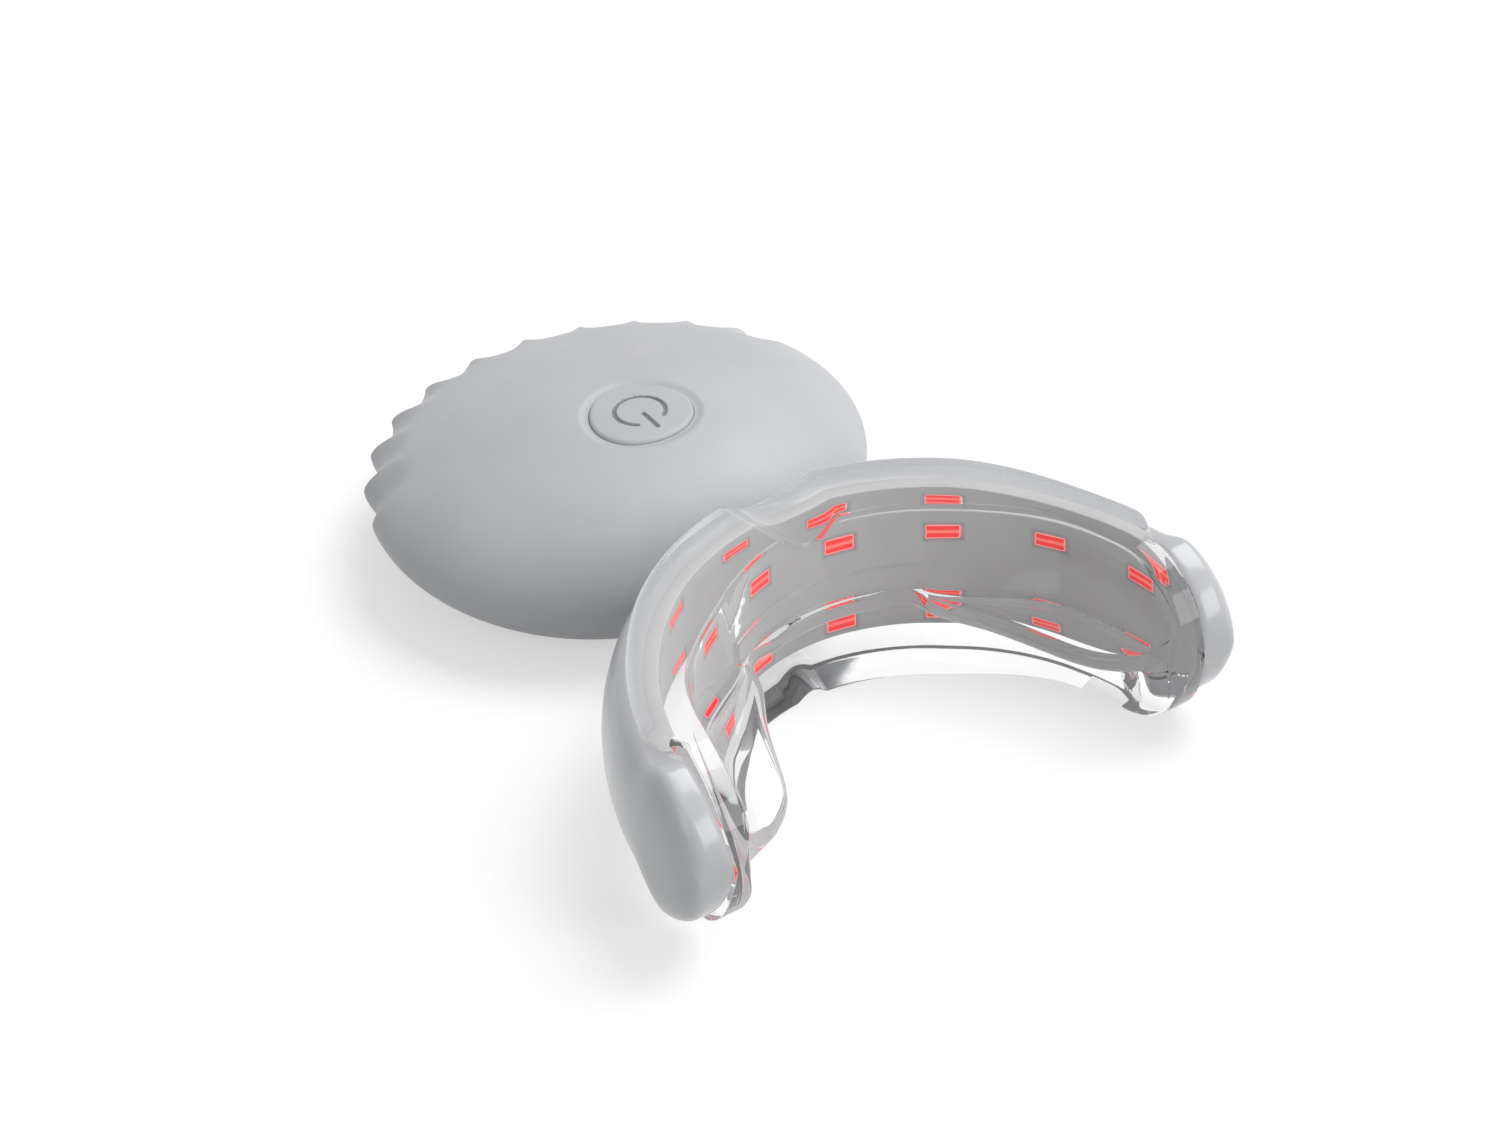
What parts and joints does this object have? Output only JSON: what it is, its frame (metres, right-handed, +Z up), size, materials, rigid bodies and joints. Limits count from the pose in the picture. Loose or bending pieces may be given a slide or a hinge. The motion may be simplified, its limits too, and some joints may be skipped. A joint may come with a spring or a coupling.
{
  "type": "teeth whitening light",
  "caption": "Clear mouth tray over a curved strip of red lights, joined by a short neck to a fluted oval pod with a round power button.",
  "frame": {"origin": "middle of the device's outer box, on the surface that it stands on", "axes": "+Y from the open back of the mouth tray towards the pod, +X to the right seen from the tray, +Z up out of the power button"},
  "size_m": [0.0644, 0.0877, 0.0214],
  "materials": {
    "shell_grey": "light grey moulded plastic, satin",
    "button_grey": "light grey moulded plastic, satin",
    "panel_grey": "grey moulded plastic, satin",
    "clear_silicone": "clear soft silicone, glossy",
    "board_green": "circuit board laminate",
    "cable_amber": "polyimide film",
    "seal_rubber": "black silicone rubber",
    "chip_black": "moulded package",
    "plunger_white": "white moulded plastic",
    "light_pipe": "clear moulded plastic",
    "light_red": "lit red light under a clear lens",
    "coil_copper": "enamelled copper wire, wound flat",
    "ferrite_black": "pressed ferrite",
    "battery_foil": "foil pouch",
    "pad_foam": "closed-cell foam",
    "lead_red": "insulated wire",
    "lead_black": "insulated wire",
    "screw_steel": "steel"
  },
  "bodies": {
    "device": {"arch_casing": "shell_grey", "battery": "battery_foil", "battery_lead_black": "lead_black", "battery_lead_red": "lead_red", "battery_pad": "pad_foam", "board_screw_1": "screw_steel", "board_screw_2": "screw_steel", "board_screw_3": "screw_steel", "button_seal": "seal_rubber", "charge_chip": "chip_black", "charging_coil": "coil_copper", "control_chip": "chip_black", "ferrite_sheet": "ferrite_black", "flex_cable": "cable_amber", "led_board": "board_green", "led_driver": "chip_black", "led_lower_1": "light_red", "led_lower_2": "light_red", "led_lower_3": "light_red", "led_lower_4": "light_red", "led_lower_5": "light_red", "led_lower_6": "light_red", "led_lower_7": "light_red", "led_lower_8": "light_red", "led_panel": "panel_grey", "led_upper_1": "light_red", "led_upper_2": "light_red", "led_upper_3": "light_red", "led_upper_4": "light_red", "led_upper_5": "light_red", "led_upper_6": "light_red", "led_upper_7": "light_red", "led_upper_8": "light_red", "main_board": "board_green", "mouth_tray": "clear_silicone", "neck_bridge": "shell_grey", "pod_base": "shell_grey", "pod_shell": "shell_grey", "seam_gasket": "seal_rubber", "status_led": "light_red", "status_light": "light_pipe", "tact_switch": "chip_black"},
    "button": {"power_button": "button_grey", "switch_plunger": "plunger_white"}
  },
  "joints": [
    {"name": "power_button_press", "type": "slide", "parent": "device", "child": "button", "axis": [0, 0, -1], "range_m": [0, 0.0006], "stiffness_N_per_m": 2000}
  ]
}
